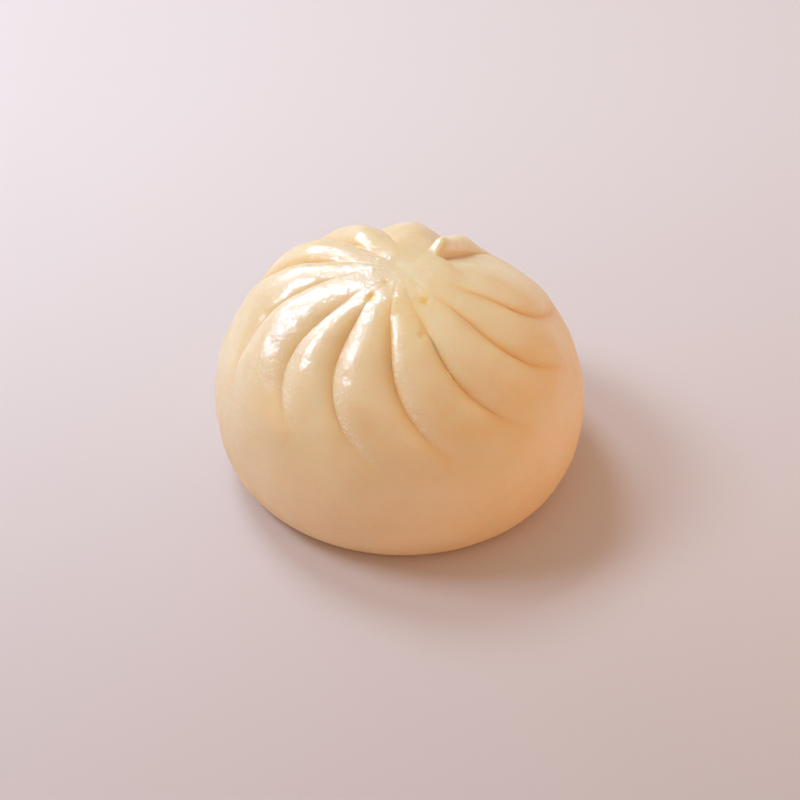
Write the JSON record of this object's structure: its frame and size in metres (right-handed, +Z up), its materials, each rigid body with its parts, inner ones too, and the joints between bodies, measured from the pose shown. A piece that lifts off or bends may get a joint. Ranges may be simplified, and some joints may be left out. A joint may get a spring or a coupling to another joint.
{
  "type": "steamed pork bun",
  "caption": "Round steamed bun of white dough, closed at the crown by a twist of deep hooked pleats, on a flat foot.",
  "frame": {"origin": "on the surface the bun stands on, under the middle of its outline seen from above", "axes": "+Z up through the crown; -Y towards the viewer of the picture; +X to the viewer's right"},
  "size_m": [0.0934, 0.0882, 0.0612],
  "materials": {
    "dough": null
  },
  "bodies": {
    "root": {"bun": "dough"}
  },
  "joints": []
}
